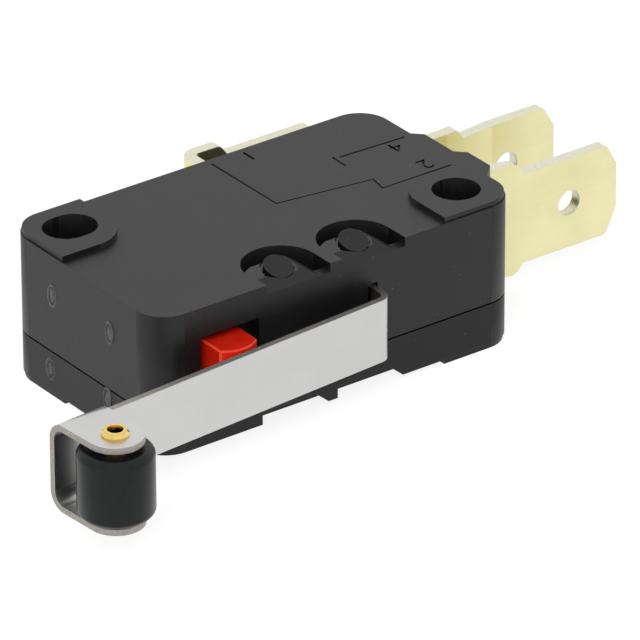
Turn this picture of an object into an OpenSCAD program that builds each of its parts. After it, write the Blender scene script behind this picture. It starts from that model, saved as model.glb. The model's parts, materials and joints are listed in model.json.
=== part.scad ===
// Lever micro switch with roller: moulded case in two halves, red push piece, folded lever and tabs.
// The object lies on the cover's hole pads. The origin is on the round hole's axis, at the lowest face.
// X runs along the case, Y from the lever side to the COM side, Z up through the mounting holes.

/* [Case] */
// Length of the case over its end walls
case_length = 27.8; // [27.4:0.1:28.4]
// Width of the case from the lever wall to the COM wall
case_width = 15.9; // [15.7:0.1:16.4]
// Height of the case over its hole pads
case_height = 10.3; // [10.2:0.1:10.8]
// Radius of the four corners seen from above
corner_radius = 2.1; // [1:0.1:2.5]
// Thickness of the moulded walls
wall = 1.3; // [1:0.1:1.4]
// Height of the joint between cover and housing
split_height = 3.2; // [3.1:0.05:3.6]
// Rise of the pads round the mounting holes
pad_rise = 0.35; // [0.2:0.05:0.4]
// How far the lower guard stands out of the tab end
guard_low = 0.65; // [0.4:0.05:0.8]
// How far the upper guard stands out of the tab end
guard_high = 1.3; // [1:0.05:1.4]

/* [Mounting holes] */
// Diameter of the round hole and width of the slotted hole
hole_diameter = 3.1; // [3:0.05:3.2]
// Overall length of the slotted hole
slot_length = 3.6; // [3.3:0.05:3.7]
// Distance between the holes along the case
hole_pitch_x = 22.2; // [22:0.1:22.4]
// Distance between the holes across the case
hole_pitch_y = 10.3; // [10.1:0.1:10.4]
// Thickness of the tubes round the holes
boss_wall = 1; // [0.8:0.05:1.05]

/* [Snap latches] */
// Diameter of the round posts on the cover
post_diameter = 1.9; // [1.7:0.05:2]
// Distance between the two posts
latch_pitch = 5.76; // [5.6:0.02:5.9]
// Depth of the posts' centres behind the lever wall
post_depth = 1.62; // [1.5:0.02:1.7]
// Slope of the cut tops of the posts, in degrees
post_slope = 19; // [10:1:24]
// Gap between a post and the round side of its hole
post_gap = 0.04; // [0.02:0.01:0.08]
// Width of the crescent slot round a tongue
crescent_width = 0.75; // [0.6:0.05:0.85]
// Outer radius of the crescent slot
crescent_radius = 2.5; // [2.4:0.02:2.56]
// Depth of the crescent slot
crescent_depth = 3; // [2:0.1:3.5]
// How far a tongue's edges fall off towards the lever wall and the slot
tongue_fall = 0.6; // [0.4:0.05:0.8]

/* [Plunger] */
// Width of the plunger along the case
plunger_width = 2.8; // [2.6:0.1:3]
// Height of the plunger
plunger_height = 4.1; // [3.9:0.1:4.2]
// Radius of the rounded plunger tip
plunger_tip_radius = 2; // [1.8:0.1:3]
// How far the tip stands out of the lever wall
plunger_reach = 1.62; // [1.5:0.02:1.7]
// Gap round the plunger in its guide
plunger_gap = 0.1; // [0.08:0.01:0.12]

/* [Lever] */
// Thickness of the lever sheet
lever_sheet = 0.42; // [0.38:0.02:0.5]
// Height of the lever strip
lever_height = 4.3; // [4.1:0.1:4.6]
// Slope of the free lever against the case, in degrees
lever_slope = 4.07; // [3.9:0.01:4.3]
// Outer radius of the bend at the heel
heel_radius = 0.95; // [0.7:0.05:1]
// How far the strip's outer face stands out of the lever wall at the heel
heel_out = 1.83; // [1.8:0.01:1.9]
// Distance from the heel bend to the roller's axis
lever_reach = 24.19; // [24:0.01:24.4]
// Width of the two ears that hold the roller
ear_width = 3.6; // [3.4:0.1:4]
// Height of the bracket over both ears
bracket_height = 5.95; // [5.85:0.05:6.1]
// Outer radius of the bends between the bracket's back and its ears
bracket_bend = 1.2; // [0.9:0.05:1.3]

/* [Roller] */
// Diameter of the roller
roller_diameter = 4.8; // [4.6:0.1:4.9]
// Width of the roller
roller_width = 4.6; // [4.5:0.05:4.7]
// Distance of the roller's axis in front of the strip
roller_offset = 3.61; // [3.5:0.01:3.8]
// Diameter of the rivet's shank
rivet_diameter = 1.4; // [1.3:0.05:1.5]
// Diameter of the hole through the rivet
rivet_bore = 1; // [0.8:0.05:1]
// Radial play of the roller on its rivet
roller_play = 0.05; // [0.03:0.01:0.08]

/* [Terminals] */
// Thickness of the terminal sheet
tab_sheet = 0.8; // [0.78:0.01:0.8]
// Height of the tabs
tab_height = 6.35; // [6.2:0.05:6.35]
// Height of the shoulders beside the case
shoulder_height = 7.9; // [7.4:0.1:8]
// Diameter of the holes in the tabs
tab_hole = 1.7; // [1.5:0.05:1.8]
// How far the NC tab's tip lies beyond the tab end of the case
nc_reach = 11.9; // [11.6:0.1:12.2]
// How far the NO tab's tip lies beyond the tab end of the case
no_reach = 12; // [11.6:0.1:12.3]
// How far the COM tab's back lies behind the COM wall
com_back = 3.35; // [3:0.05:3.5]
// How far the COM tab's tip lies short of the tab end of the case
com_short = 1.5; // [1:0.1:2.5]

/* [Contacts] */
// Diameter of the contact heads
contact_diameter = 3; // [2.6:0.1:3]
// Diameter of the contacts' shanks
contact_shank = 1.2; // [1:0.1:1.4]
// Gap of the open contact pair
contact_gap = 0.7; // [0.7:0.05:0.75]
// Thickness of the spring leaf
blade_sheet = 0.2; // [0.15:0.05:0.2]
// Height of the spring leaf
blade_height = 4.2; // [3.8:0.1:4.4]

/* [Hidden] */

eps = 0.01;
over = 1;
half_x = case_length / 2;
half_y = case_width / 2;
hole_x = hole_pitch_x / 2;
hole_y = hole_pitch_y / 2;
top = case_height - pad_rise;
mid_z = case_height / 2;

// Where the stepped guards begin, step and end across the tab end
guard_front = -4.6;
guard_step = -0.35;
guard_back = 3.3;

// Inside of the case
cavity_floor = pad_rise + wall;
cavity_roof = top - wall;
boss_radius = hole_diameter / 2 + boss_wall;

// Latches
latch_inset = 10.4;
latch_x = [latch_inset - half_x, latch_inset - half_x + latch_pitch];
post_y = -half_y + post_depth;
post_cut = 2 * post_diameter;
post_sink = 0;
tongue_left = 2.1;
crescent_shift = [0.25, 0.13];
crescent_end = [0.4, 0.8];
slot_front = 0.75;
tongue_flat = 0.9;
ramp_depth = 0.95;
ring_radius = 1.19;
ring_depth = 0.15;
corner_turn = 36.4;
foot_lift = 0.85;
foot_left = 2.45;
foot_flat = 1.6;
foot_right = 2.6;
block_margin = [2.5, 3.44];
block_depth = 4.65;
block_left = latch_x[0] - block_margin[0];
block_right = latch_x[1] + block_margin[1];
block_back = -half_y + block_depth;

// Pads round the holes
pad_inset = 0.1;
pad_corner = 2.5;
round_pad = [5.75, 5.5];
slot_pad = [5.45, 5.85];

// Cuts that reach through the wall into the cavity
wall_room = 2.7;
through = wall + wall_room;

// Plunger and its recess
plunger_inset = 5.4;
plunger_x = plunger_inset - half_x;
recess_depth = 0.85;
recess_margin = [0.7, 0.9];
recess_rise = 0.7;
recess_left = plunger_x - plunger_width / 2 - recess_margin[0];
recess_right = plunger_x + plunger_width / 2 + recess_margin[1];
recess_low = mid_z - plunger_height / 2 - recess_rise;
recess_high = mid_z + plunger_height / 2 + recess_rise;
guide_left = recess_left - wall;
guide_back = -half_y + recess_depth + wall;
flange_gap = 0.05;
flange_depth = 1;
flange_side = 0.9;
flange_rise = 0.6;

// Lever
pivot_inset = 16.45;
pivot_x = pivot_inset - half_x;
pivot_depth = 0.73;
pivot_y = -half_y + pivot_depth;
heel_center = [pivot_x + lever_sheet / 2 - heel_radius, -half_y - heel_out + heel_radius];
slot_room = 0.25;
ear_block = 0.5;
ear_rise = 0.65;
pivot_gap = 0.12;
leg_swing = 0.2;

// Roller and rivet
roller_x = -lever_reach;
roller_y = -heel_radius - roller_offset;
ear_radius = ear_width / 2;
roller_drop = 0.12;
rivet_head = 1.75;
rivet_head_rise = 0.36;
rivet_foot = 2.2;
rivet_foot_rise = 0.45;
rivet_fit = 0.01;

// Terminals
nc_y = -2.5;
nc_jog = -0.5;
no_y = 3.15;
no_jog = 0.47;
no_inner_jog = -1.25;
inner_length = 7.7;
inner_end = half_x - inner_length;
inner_height = 6.4;
inner_jog_gap = 0.6;
inner_jog_length = 1.6;
shoulder_length = 4.3;
shoulder_end = half_x + shoulder_length;
shoulder_slope = 0.6;
nc_jog_start = 2;
nc_jog_length = 2.3;
no_jog_start = 2.8;
no_jog_length = 4;
nc_jog_span = [half_x + nc_jog_start, half_x + nc_jog_start + nc_jog_length];
no_jog_span = [half_x + no_jog_start, half_x + no_jog_start + no_jog_length];
tab_chamfer = 1;
tab_edge = 0.22;
hole_from_tip = 4;
slot_fit = 0.04;
com_inset = 12.45;
com_x = half_x - com_inset;
com_inner = 0.9;
com_bend = 0.3;
com_tip = half_x - com_short;
com_shoulder_length = 3.4;
com_shoulder_end = com_x + com_shoulder_length;

// Contacts
contact_inset = 1.2;
contact_x = inner_end + contact_inset;
blade_y = -0.45;
blade_gap = 0.4;
blade_end = 1.7;
anchor_gap = 0.8;
window = [5.2, 0.7];
window_x = latch_x[0];
blade_left = -half_x + wall + blade_gap;
blade_right = contact_x + blade_end;
anchor_x = -half_x + wall + anchor_gap;
contact_rest_gap = 0.05;
hook_gap = 0.05;
moving_front = 0.5;
moving_back = 0.7;
nc_head = blade_y - moving_front - contact_rest_gap - (nc_y + tab_sheet);
no_face = no_y + no_inner_jog;
no_head = no_face - (blade_y + blade_sheet + moving_back + contact_gap);
shank_fit = 0.01;
plunger_stroke = 0.94;
plunger_blade_gap = 0.02;
plunger_inner = blade_y - plunger_blade_gap - plunger_stroke;

// Places a drawing made about the middle of the case in the frame of the round hole
module placed() {
  translate([-hole_x, hole_y, 0])
    children();
}

// A rectangle with rounded corners, drawn from squares and circles
module rounded_plan(length, width, radius) {
  square([length - 2 * radius, width], center = true);
  square([length, width - 2 * radius], center = true);
  for (sx = [-1, 1])
    for (sy = [-1, 1])
      translate([sx * (length / 2 - radius), sy * (width / 2 - radius)])
        circle(r = radius, $fn = 64);
}

module case_plan() {
  rounded_plan(case_length, case_width, corner_radius);
  // Stepped guards beside the terminal exits
  polygon([
    [half_x - over, guard_back + over],
    [half_x, guard_back],
    [half_x + guard_low, guard_back - guard_low],
    [half_x + guard_low, guard_step],
    [half_x + guard_high, guard_step + guard_low - guard_high],
    [half_x + guard_high, guard_front + guard_high],
    [half_x, guard_front],
    [half_x - over, guard_front]
  ]);
}

// The flat of a pad: a corner of the case, with its free corner rounded
module pad_plan(size, side) {
  intersection() {
    rounded_plan(
      case_length - 2 * pad_inset,
      case_width - 2 * pad_inset,
      corner_radius - pad_inset
    );
    rotate(side > 0 ? 0 : 180)
      translate([half_x - size[0], -half_y]) {
        translate([pad_corner, 0])
          square([size[0] - pad_corner, size[1]]);
        square([size[0], size[1] - pad_corner]);
        translate([pad_corner, size[1] - pad_corner])
          circle(r = pad_corner, $fn = 64);
      }
  }
}

module pads(z) {
  translate([0, 0, z])
    linear_extrude(pad_rise + eps) {
      pad_plan(round_pad, 1);
      pad_plan(slot_pad, -1);
    }
}

module bosses(z, height) {
  translate([hole_x, -hole_y, z])
    cylinder(h = height, r = boss_radius, $fn = 64);
  translate([-hole_x, hole_y, z])
    cylinder(h = height, r = boss_radius + (slot_length - hole_diameter) / 2, $fn = 64);
}

module mounting_holes() {
  slot_shift = (slot_length - hole_diameter) / 2;
  translate([hole_x, -hole_y, -over])
    cylinder(h = case_height + 2 * over, d = hole_diameter, $fn = 64);
  translate([-hole_x, hole_y, -over])
    linear_extrude(case_height + 2 * over) {
      translate([-slot_shift, 0])
        circle(d = hole_diameter, $fn = 64);
      translate([slot_shift, 0])
        circle(d = hole_diameter, $fn = 64);
      square([2 * slot_shift, hole_diameter], center = true);
    }
}

// The hollow that both halves of the case share
module cavity(z, height) {
  translate([-half_x + wall, -half_y + wall, z])
    cube([case_length - 2 * wall, case_width - 2 * wall, height]);
}

// Everything that enters the case through its walls
module wall_openings() {
  // Shallow recess round the plunger
  translate([recess_left, -half_y - over, recess_low])
    cube([recess_right - recess_left, recess_depth + over, recess_high - recess_low]);
  // Guide for the plunger
  translate([
    plunger_x - plunger_width / 2 - plunger_gap,
    -half_y - over,
    mid_z - plunger_height / 2 - plunger_gap
  ])
    cube([plunger_width + 2 * plunger_gap, over + through, plunger_height + 2 * plunger_gap]);
  // Slot for the lever's heel
  translate([
    pivot_x - lever_sheet / 2 - leg_swing,
    -half_y - over,
    mid_z - lever_height / 2 - slot_room
  ])
    cube([
      lever_sheet + leg_swing + pivot_gap,
      over + pivot_depth + ear_block / 2 + pivot_gap,
      lever_height + 2 * slot_room
    ]);
  // Pocket behind it for the wider end of the heel
  translate([
    pivot_x - lever_sheet / 2 - pivot_gap,
    pivot_y - ear_block / 2 - pivot_gap,
    mid_z - lever_height / 2 - ear_rise - pivot_gap
  ])
    cube([
      lever_sheet + 2 * pivot_gap,
      ear_block + 2 * pivot_gap,
      lever_height + 2 * ear_rise + 2 * pivot_gap
    ]);
  // Terminal exits
  for (y = [nc_y, no_y])
    translate([half_x - wall - over, y - slot_fit, mid_z - inner_height / 2 - slot_fit])
      cube([over + through, tab_sheet + 2 * slot_fit, inner_height + 2 * slot_fit]);
  translate([com_x - slot_fit, half_y - wall - over, mid_z - tab_height / 2 - slot_fit])
    cube([tab_sheet + 2 * slot_fit, over + through, tab_height + 2 * slot_fit]);
}

// Plan of the deep slot: a round stretch, then a straight one towards the lever wall
module crescent_plan(center) {
  inner = crescent_radius - crescent_width;
  difference() {
    translate(center)
      circle(r = crescent_radius, $fn = 64);
    translate(center)
      circle(r = inner, $fn = 64);
    translate(center - [2 * crescent_radius, 2 * crescent_radius])
      square([4 * crescent_radius, 2 * crescent_radius]);
    translate(center)
      polygon([
        [-2 * crescent_radius, -eps],
        [-2 * crescent_radius, crescent_end[0]],
        [-crescent_radius, crescent_end[0]],
        [-inner, crescent_end[1]],
        [0, crescent_end[1]],
        [0, -eps]
      ]);
  }
  translate([center[0] + inner, -half_y + slot_front])
    square([crescent_width, center[1] + half_y - slot_front + eps]);
}

// One snap tongue: the slot round it and the hole for the post
module tongue_cuts(x) {
  hole_radius = post_diameter / 2 + post_gap;
  center = [x, post_y] + crescent_shift;
  inner = crescent_radius - crescent_width;
  translate([0, 0, top - crescent_depth])
    linear_extrude(crescent_depth + over)
      crescent_plan(center);
  // Shallow end of the slot at the lever wall
  translate([center[0] + inner, -half_y - over, top - tongue_fall])
    cube([crescent_width, slot_front + over + eps, tongue_fall + over]);
  // Hole, with one corner that frees the post from the mould
  translate([x, post_y, split_height - over])
    linear_extrude(case_height) {
      circle(r = hole_radius, $fn = 64);
      rotate(-corner_turn)
        translate([-hole_radius, -hole_radius])
          square(hole_radius);
    }
  // Shallow ring round the hole
  translate([x, post_y, top - ring_depth])
    cylinder(h = ring_depth + over, r = ring_radius, $fn = 64);
}

// Section of an edge that falls off by tongue_fall over a run that starts at 0
module fall_section(run) {
  steep = tongue_fall / run;
  polygon([
    [0, 0],
    [run + over, -tongue_fall - over * steep],
    [run + over, over],
    [0, over]
  ]);
}

// The edges of a tongue fall off towards the lever wall, and at its back and right into the slot
module tongue_falls(x) {
  center = [x, post_y] + crescent_shift;
  inner = crescent_radius - crescent_width;
  translate([x - tongue_left, -half_y + ramp_depth, top])
    rotate([90, 0, 90])
      linear_extrude(tongue_left + crescent_shift[0] + crescent_radius)
        mirror([1, 0])
          fall_section(ramp_depth);
  intersection() {
    translate([0, 0, top - tongue_fall])
      linear_extrude(tongue_fall + over) {
        translate(center)
          circle(r = inner + eps, $fn = 64);
        translate([center[0], -half_y - over])
          square([inner + eps, center[1] + half_y + over]);
      }
    union() {
      translate([x + tongue_flat, center[1] + inner + over, top])
        rotate([90, 0, 0])
          linear_extrude(2 * inner + case_width / 2)
            fall_section(crescent_shift[0] + inner - tongue_flat);
      translate([center[0] - 2 * inner, post_y + tongue_flat, top])
        rotate([90, 0, 90])
          linear_extrude(4 * inner)
            fall_section(crescent_shift[1] + inner - tongue_flat);
    }
  }
}

module housing() {
  color("dimgray")
    placed()
      difference() {
        union() {
          difference() {
            translate([0, 0, split_height])
              linear_extrude(top - split_height)
                case_plan();
            cavity(split_height - over, cavity_roof - split_height + over);
          }
          pads(top - eps);
          bosses(split_height, cavity_roof - split_height + eps);
          // Solid block that carries the tongues
          translate([block_left, -half_y + wall - eps, split_height])
            cube([
              block_right - block_left,
              block_back + half_y - wall + eps,
              cavity_roof - split_height + eps
            ]);
          // Thicker wall behind the plunger recess
          translate([guide_left, -half_y + wall - eps, split_height])
            cube([
              block_left - guide_left + eps,
              guide_back + half_y - wall + eps,
              cavity_roof - split_height + eps
            ]);
        }
        mounting_holes();
        wall_openings();
        for (x = latch_x) {
          tongue_cuts(x);
          tongue_falls(x);
        }
      }
}

// A post: cut off at a slope, lower towards the lever wall
module post(x) {
  post_top = case_height - post_sink;
  difference() {
    translate([x, post_y, cavity_floor - eps])
      cylinder(h = case_height, d = post_diameter, $fn = 48);
    translate([x - post_cut / 2, post_y + post_diameter / 2, post_top])
      rotate([post_slope, 0, 0])
        translate([0, -post_cut, 0])
          cube([post_cut, post_cut + over, post_cut]);
  }
}

module cover() {
  color("dimgray")
    placed()
      difference() {
        union() {
          difference() {
            translate([0, 0, pad_rise])
              linear_extrude(split_height - pad_rise)
                case_plan();
            cavity(cavity_floor, split_height);
          }
          pads(0);
          bosses(cavity_floor - eps, split_height - cavity_floor + eps);
          translate([block_left, -half_y + wall - eps, cavity_floor - eps])
            cube([
              block_right - block_left,
              block_back + half_y - wall + eps,
              split_height - cavity_floor + eps
            ]);
          translate([guide_left, -half_y + wall - eps, cavity_floor - eps])
            cube([
              block_left - guide_left + eps,
              guide_back + half_y - wall + eps,
              split_height - cavity_floor + eps
            ]);
          for (x = latch_x)
            post(x);
        }
        mounting_holes();
        wall_openings();
        // Lifted front edge under each tongue
        for (x = latch_x)
          translate([0, -half_y + ramp_depth, 0])
            rotate([90, 0, 0])
              linear_extrude(ramp_depth + over)
                polygon([
                  [x - foot_left, -over],
                  [x + foot_right, -over],
                  [x + foot_right, pad_rise],
                  [x + foot_flat, pad_rise + foot_lift],
                  [x - foot_left, pad_rise + foot_lift]
                ]);
      }
}

module plunger() {
  tip = -half_y - plunger_reach;
  flange_front = guide_back + flange_gap;
  color("red")
    placed() {
      translate([0, 0, mid_z - plunger_height / 2])
        linear_extrude(plunger_height)
          intersection() {
            translate([plunger_x - plunger_width / 2, tip])
              square([plunger_width, plunger_inner - tip]);
            union() {
              translate([plunger_x, tip + plunger_tip_radius])
                circle(r = plunger_tip_radius, $fn = 96);
              translate([plunger_x - plunger_width, tip + plunger_tip_radius])
                square([2 * plunger_width, plunger_inner - tip]);
            }
          }
      // Flange that keeps it in the case
      translate([
        plunger_x - plunger_width / 2 - flange_side,
        flange_front,
        mid_z - plunger_height / 2 - flange_rise
      ])
        cube([
          plunger_width + 2 * flange_side,
          flange_depth,
          plunger_height + 2 * flange_rise
        ]);
    }
}

// Frame of the lever: at the heel bend's centre, with X along the strip
module along_strip() {
  translate(heel_center)
    rotate(lever_slope)
      children();
}

module heel_plan() {
  // Bend between the leg and the strip
  difference() {
    intersection() {
      translate(heel_center)
        circle(r = heel_radius, $fn = 64);
      translate(heel_center)
        polygon([
          [0, 0],
          2 * heel_radius * [sin(lever_slope), -cos(lever_slope)],
          2 * heel_radius * [1, -1],
          [2 * heel_radius, 0]
        ]);
    }
    translate(heel_center)
      circle(r = heel_radius - lever_sheet, $fn = 64);
  }
  // Leg into the case
  translate([heel_center[0] + heel_radius - lever_sheet, heel_center[1]])
    square([lever_sheet, pivot_y + ear_block / 2 - heel_center[1]]);
  // Strip
  along_strip()
    translate([roller_x + ear_radius - eps, -heel_radius])
      square([lever_reach - ear_radius + eps, lever_sheet]);
}

module ear_plan() {
  translate([roller_x - ear_radius, roller_y])
    square([ear_width, -heel_radius + lever_sheet - bracket_bend - roller_y]);
  translate([roller_x, roller_y])
    circle(r = ear_radius, $fn = 64);
}

module bracket() {
  back = -heel_radius + lever_sheet;
  bend_center = bracket_height / 2 - bracket_bend;
  // Back, in line with the strip
  translate([roller_x - ear_radius, -heel_radius, mid_z - bend_center])
    cube([ear_width, lever_sheet, 2 * bend_center]);
  for (side = [-1, 1]) {
    // Bend
    translate([roller_x - ear_radius, back - bracket_bend, mid_z + side * bend_center])
      rotate([90, 0, 90])
        linear_extrude(ear_width)
          difference() {
            intersection() {
              circle(r = bracket_bend, $fn = 64);
              translate([0, side > 0 ? 0 : -bracket_bend])
                square([bracket_bend, bracket_bend]);
            }
            circle(r = bracket_bend - lever_sheet, $fn = 64);
          }
    // Ear
    translate([0, 0, mid_z + side * (bracket_height / 2 - lever_sheet / 2) - lever_sheet / 2])
      linear_extrude(lever_sheet)
        ear_plan();
  }
}

module lever() {
  color("silver")
    placed() {
      translate([0, 0, mid_z - lever_height / 2])
        linear_extrude(lever_height)
          heel_plan();
      // Wider end of the heel, which holds the lever in the case
      translate([
        pivot_x - lever_sheet / 2,
        pivot_y - ear_block / 2,
        mid_z - lever_height / 2 - ear_rise
      ])
        cube([lever_sheet, ear_block, lever_height + 2 * ear_rise]);
      along_strip()
        difference() {
          bracket();
          translate([roller_x, roller_y, 0])
            cylinder(h = case_height, d = rivet_diameter + 2 * rivet_fit, $fn = 48);
        }
    }
}

module roller_rivet() {
  low = mid_z - bracket_height / 2;
  high = mid_z + bracket_height / 2;
  color("gold")
    placed()
      along_strip()
        translate([roller_x, roller_y, 0])
          difference() {
            union() {
              translate([0, 0, low - rivet_foot_rise])
                cylinder(h = high - low + rivet_foot_rise + rivet_head_rise, d = rivet_diameter, $fn = 48);
              // Flared foot and rolled head
              translate([0, 0, low - rivet_foot_rise])
                cylinder(h = rivet_foot_rise, d1 = rivet_head, d2 = rivet_foot, $fn = 48);
              translate([0, 0, high])
                cylinder(h = rivet_head_rise / 3, d = rivet_head, $fn = 48);
              translate([0, 0, high + rivet_head_rise / 3 - eps])
                cylinder(
                  h = rivet_head_rise / 2,
                  d1 = rivet_head,
                  d2 = rivet_diameter,
                  $fn = 48
                );
            }
            translate([0, 0, low - over])
              cylinder(h = high - low + 2 * over, d = rivet_bore, $fn = 48);
          }
}

module roller() {
  chamfer = 0.35;
  color("darkslategray")
    placed()
      along_strip()
        translate([roller_x, roller_y, mid_z - roller_width / 2 - roller_drop])
          difference() {
            rotate_extrude($fn = 96)
              polygon([
                [0, 0],
                [roller_diameter / 2 - chamfer, 0],
                [roller_diameter / 2, chamfer],
                [roller_diameter / 2, roller_width - chamfer],
                [roller_diameter / 2 - chamfer, roller_width],
                [0, roller_width]
              ]);
            translate([0, 0, -over])
              cylinder(h = roller_width + 2 * over, d = rivet_diameter + 2 * roller_play, $fn = 48);
          }
}

// Outline of a straight terminal seen from the lever side
module tab_side(tip, shoulder_start) {
  half_tab = tab_height / 2;
  half_shoulder = shoulder_height / 2;
  half_inner = inner_height / 2;
  difference() {
    polygon([
      [inner_end, -half_inner],
      [shoulder_start, -half_inner],
      [shoulder_start, -half_shoulder],
      [shoulder_end - shoulder_slope, -half_shoulder],
      [shoulder_end, -half_tab],
      [tip - tab_chamfer, -half_tab],
      [tip, -half_tab + 1.6 * tab_chamfer],
      [tip, half_tab - 1.6 * tab_chamfer],
      [tip - tab_chamfer, half_tab],
      [shoulder_end, half_tab],
      [shoulder_end - shoulder_slope, half_shoulder],
      [shoulder_start, half_shoulder],
      [shoulder_start, half_inner],
      [inner_end, half_inner]
    ]);
    translate([tip - hole_from_tip, 0])
      circle(d = tab_hole, $fn = 48);
    translate([contact_x, 0])
      circle(d = contact_shank + 2 * shank_fit, $fn = 48);
  }
}

// A straight terminal: its plan, cut to its side outline
module straight_tab(tip, shoulder_start) {
  intersection() {
    translate([0, 0, mid_z - shoulder_height])
      linear_extrude(2 * shoulder_height)
        children();
    translate([0, half_y, mid_z])
      rotate([90, 0, 0])
        linear_extrude(case_width)
          tab_side(tip, shoulder_start);
  }
}

module nc_terminal() {
  tip = half_x + nc_reach;
  color("khaki")
    placed()
      straight_tab(tip, half_x + guard_high + slot_fit)
        polygon([
          [inner_end, nc_y],
          [nc_jog_span[0], nc_y],
          [nc_jog_span[1], nc_y + nc_jog],
          [tip - tab_chamfer, nc_y + nc_jog],
          [tip, nc_y + nc_jog + tab_edge],
          [tip, nc_y + nc_jog + tab_sheet - tab_edge],
          [tip - tab_chamfer, nc_y + nc_jog + tab_sheet],
          [nc_jog_span[1], nc_y + nc_jog + tab_sheet],
          [nc_jog_span[0], nc_y + tab_sheet],
          [inner_end, nc_y + tab_sheet]
        ]);
}

module no_terminal() {
  tip = half_x + no_reach;
  inner_jog_end = half_x - wall - inner_jog_gap;
  inner_jog_start = inner_jog_end - inner_jog_length;
  color("khaki")
    placed()
      straight_tab(tip, half_x + slot_fit)
        polygon([
          [inner_end, no_face],
          [inner_jog_start, no_face],
          [inner_jog_end, no_y],
          [no_jog_span[0], no_y],
          [no_jog_span[1], no_y + no_jog],
          [tip - tab_chamfer, no_y + no_jog],
          [tip, no_y + no_jog + tab_edge],
          [tip, no_y + no_jog + tab_sheet - tab_edge],
          [tip - tab_chamfer, no_y + no_jog + tab_sheet],
          [no_jog_span[1], no_y + no_jog + tab_sheet],
          [no_jog_span[0], no_y + tab_sheet],
          [inner_jog_end, no_y + tab_sheet],
          [inner_jog_start, no_face + tab_sheet],
          [inner_end, no_face + tab_sheet]
        ]);
}

// Plan of the COM terminal's leg and of its bend into the tab
module com_leg_plan(start, back) {
  bend_center = [com_x + tab_sheet + com_bend, back - tab_sheet - com_bend];
  translate([com_x, start])
    square([tab_sheet, bend_center[1] - start]);
  intersection() {
    translate(bend_center)
      difference() {
        circle(r = tab_sheet + com_bend, $fn = 64);
        circle(r = com_bend, $fn = 48);
      }
    translate([com_x, bend_center[1] - eps])
      square([tab_sheet + com_bend + eps, tab_sheet + com_bend + eps]);
  }
}

module com_terminal() {
  back = half_y + com_back;
  half_tab = tab_height / 2;
  half_shoulder = shoulder_height / 2;
  tab_start = com_x + tab_sheet + com_bend;
  color("khaki")
    placed()
      difference() {
        union() {
          // Leg and bend beside the case
          translate([0, 0, mid_z - half_shoulder])
            linear_extrude(shoulder_height)
              com_leg_plan(half_y + slot_fit, back);
          // Leg, inner arm and the hook that carries the leaf
          translate([0, 0, mid_z - half_tab])
            linear_extrude(tab_height) {
              translate([com_x, com_inner])
                square([tab_sheet, half_y + slot_fit + eps - com_inner]);
              translate([anchor_x - tab_sheet / 2, com_inner])
                square([com_x - anchor_x + tab_sheet, tab_sheet]);
              translate([anchor_x - tab_sheet / 2, blade_y + blade_sheet + hook_gap])
                square([tab_sheet, com_inner - blade_y - blade_sheet - hook_gap + eps]);
            }
          // Shoulder and tab with cut corners
          translate([0, back, mid_z])
            rotate([90, 0, 0])
              linear_extrude(tab_sheet)
                polygon([
                  [tab_start, -half_shoulder],
                  [com_shoulder_end - shoulder_slope, -half_shoulder],
                  [com_shoulder_end, -half_tab],
                  [com_tip - tab_chamfer, -half_tab],
                  [com_tip, -half_tab + 1.6 * tab_chamfer],
                  [com_tip, half_tab - 1.6 * tab_chamfer],
                  [com_tip - tab_chamfer, half_tab],
                  [com_shoulder_end, half_tab],
                  [com_shoulder_end - shoulder_slope, half_shoulder],
                  [tab_start, half_shoulder]
                ]);
        }
        translate([com_tip - hole_from_tip, back + over, mid_z])
          rotate([90, 0, 0])
            cylinder(h = tab_sheet + 2 * over, d = tab_hole, $fn = 48);
      }
}

// A contact rivet along Y: its head and its shank
module contact(y, head, shank) {
  translate([contact_x, y, mid_z])
    rotate([head > 0 ? -90 : 90, 0, 0])
      cylinder(h = abs(head), d = contact_diameter, $fn = 64);
  translate([contact_x, y, mid_z])
    rotate([head > 0 ? 90 : -90, 0, 0])
      cylinder(h = shank, d = contact_shank, $fn = 48);
}

module nc_contact() {
  color("silver")
    placed()
      contact(nc_y + tab_sheet, nc_head, tab_sheet);
}

module no_contact() {
  color("silver")
    placed()
      contact(no_face, -no_head, tab_sheet);
}

module snap_blade() {
  color("peru")
    placed()
      difference() {
        translate([blade_left, blade_y, mid_z - blade_height / 2])
          cube([blade_right - blade_left, blade_sheet, blade_height]);
        // Two slots that free the middle tongue
        for (side = [-1, 1])
          translate([window_x, blade_y - over, mid_z + side * blade_height / 4 - window[1] / 2])
            cube([window[0], blade_sheet + 2 * over, window[1]]);
        translate([contact_x, blade_y - over, mid_z])
          rotate([-90, 0, 0])
            cylinder(h = blade_sheet + 2 * over, d = contact_shank + 2 * shank_fit, $fn = 48);
      }
}

module moving_contact() {
  color("silver")
    placed() {
      contact(blade_y + blade_sheet, moving_back, blade_sheet + eps);
      translate([contact_x, blade_y - moving_front, mid_z])
        rotate([-90, 0, 0])
          cylinder(h = moving_front, d = contact_diameter, $fn = 64);
    }
}

housing();
cover();
plunger();
lever();
roller_rivet();
roller();
com_terminal();
no_terminal();
nc_terminal();
nc_contact();
no_contact();
snap_blade();
moving_contact();
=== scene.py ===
import json
import math
import bpy
import bmesh
from mathutils import Matrix, Vector
from mathutils.bvhtree import BVHTree


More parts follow.
